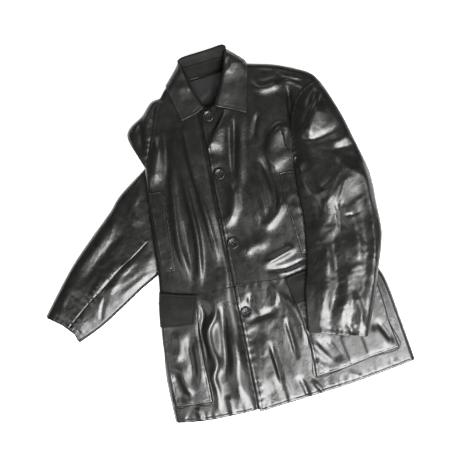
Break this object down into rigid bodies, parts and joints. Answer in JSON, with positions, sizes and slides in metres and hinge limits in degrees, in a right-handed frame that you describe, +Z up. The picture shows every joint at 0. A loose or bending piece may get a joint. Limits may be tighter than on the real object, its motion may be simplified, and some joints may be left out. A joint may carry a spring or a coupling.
{
  "type": "leather car coat",
  "caption": "Hip-length black leather coat lying flat and buttoned, with turned-down collar, flapped patch pockets, welt pockets, left sleeve across the front and right sleeve tucked under.",
  "frame": {"origin": "on the floor below the middle of the coat's bounding box, with the coat lying on its back", "axes": "+Z up, +Y towards the collar, +X towards the wearer's left side"},
  "size_m": [0.784, 0.808, 0.0594],
  "materials": {
    "shell_leather": "semi-gloss, polished black leather",
    "dull_leather": "matte black leather",
    "lining_cloth": "satin lining",
    "button_resin": "glossy",
    "thread": "matte",
    "wadding": "matte felt"
  },
  "bodies": {
    "torso": {"left_front_upper": "shell_leather", "left_front_skirt": "shell_leather", "right_front_upper": "shell_leather", "right_front_skirt": "shell_leather", "back_left_panel": "shell_leather", "back_right_panel": "shell_leather", "left_side_panel": "shell_leather", "right_side_panel": "shell_leather", "left_hand_pocket_welt": "shell_leather", "right_hand_pocket_welt": "shell_leather", "left_patch_pocket_face": "shell_leather", "left_patch_pocket_gusset": "shell_leather", "right_patch_pocket_face": "shell_leather", "right_patch_pocket_gusset": "shell_leather", "right_sleeve_cap": "shell_leather", "back_top_collar": "shell_leather", "right_front_facing": "dull_leather", "left_front_facing": "dull_leather", "back_neck_facing": "dull_leather", "collar_stand": "dull_leather", "back_under_collar": "dull_leather", "back_lining": "lining_cloth", "left_front_lining": "lining_cloth", "right_front_lining": "lining_cloth", "left_hand_pocket_bag_back": "lining_cloth", "left_hand_pocket_bag_front": "lining_cloth", "right_hand_pocket_bag_back": "lining_cloth", "right_hand_pocket_bag_front": "lining_cloth", "button_1_stay_button": "button_resin", "button_2_stay_button": "button_resin", "button_3_stay_button": "button_resin", "button_4_stay_button": "button_resin", "button_1_thread_shank": "thread", "button_2_thread_shank": "thread", "button_3_thread_shank": "thread", "button_4_thread_shank": "thread", "left_sleeve_head_roll": "wadding", "right_sleeve_head_roll": "wadding"},
    "left_pocket_flap": {"left_pocket_flap": "shell_leather", "left_pocket_flap_lining": "lining_cloth"},
    "right_pocket_flap": {"right_pocket_flap": "shell_leather", "right_pocket_flap_lining": "lining_cloth"},
    "left_collar_leaf": {"left_top_collar": "shell_leather", "left_under_collar": "dull_leather"},
    "right_collar_leaf": {"right_top_collar": "shell_leather", "right_under_collar": "dull_leather"},
    "left_sleeve": {"left_under_sleeve": "shell_leather", "left_sleeve_lining": "lining_cloth", "left_top_sleeve": "shell_leather"},
    "right_sleeve": {"right_under_sleeve": "shell_leather", "right_sleeve_lining": "lining_cloth", "right_top_sleeve": "shell_leather"},
    "button_1": {"button_1": "button_resin"},
    "button_2": {"button_2": "button_resin"},
    "button_3": {"button_3": "button_resin"},
    "button_4": {"button_4": "button_resin"}
  },
  "joints": [
    {"name": "left_flap_lift", "type": "hinge", "parent": "torso", "child": "left_pocket_flap", "pos_m": [0.144, -0.125, 0.03445], "axis": [-0.9983, -0.059, 0], "range_deg": [0, 5]},
    {"name": "right_flap_lift", "type": "hinge", "parent": "torso", "child": "right_pocket_flap", "pos_m": [-0.134, -0.107, 0.03255], "axis": [-0.9782, 0.2079, 0], "range_deg": [0, 150]},
    {"name": "left_collar_turn_up", "type": "hinge", "parent": "torso", "child": "left_collar_leaf", "pos_m": [0.06, 0.276, 0.02895], "axis": [-0.3332, -0.9428, 0], "range_deg": [0, 90]},
    {"name": "right_collar_turn_up", "type": "hinge", "parent": "torso", "child": "right_collar_leaf", "pos_m": [0.043, 0.278, 0.02895], "axis": [-0.2666, 0.9638, 0], "range_deg": [0, 90]},
    {"name": "left_sleeve_swing", "type": "hinge", "parent": "torso", "child": "left_sleeve", "pos_m": [0.262, 0.255, 0.05], "axis": [0, 0, 1], "range_deg": [-3, 25]},
    {"name": "right_sleeve_swing", "type": "hinge", "parent": "torso", "child": "right_sleeve", "pos_m": [-0.1, 0.19, 0.008], "axis": [0, 0, -1], "range_deg": [0, 25]},
    {"name": "button_1_twist", "type": "hinge", "parent": "torso", "child": "button_1", "pos_m": [0.046, 0.257, 0.031], "axis": [0, 0, 1], "range_deg": [-30, 30], "stiffness_Nm_per_rad": 0.001},
    {"name": "button_2_twist", "type": "hinge", "parent": "torso", "child": "button_2", "pos_m": [0.046, 0.127, 0.031], "axis": [0, 0, 1], "range_deg": [-30, 30], "stiffness_Nm_per_rad": 0.001},
    {"name": "button_3_twist", "type": "hinge", "parent": "torso", "child": "button_3", "pos_m": [0.046, -0.028, 0.031], "axis": [0, 0, 1], "range_deg": [-30, 30], "stiffness_Nm_per_rad": 0.001},
    {"name": "button_4_twist", "type": "hinge", "parent": "torso", "child": "button_4", "pos_m": [0.046, -0.183, 0.031], "axis": [0, 0, 1], "range_deg": [-30, 30], "stiffness_Nm_per_rad": 0.001}
  ]
}
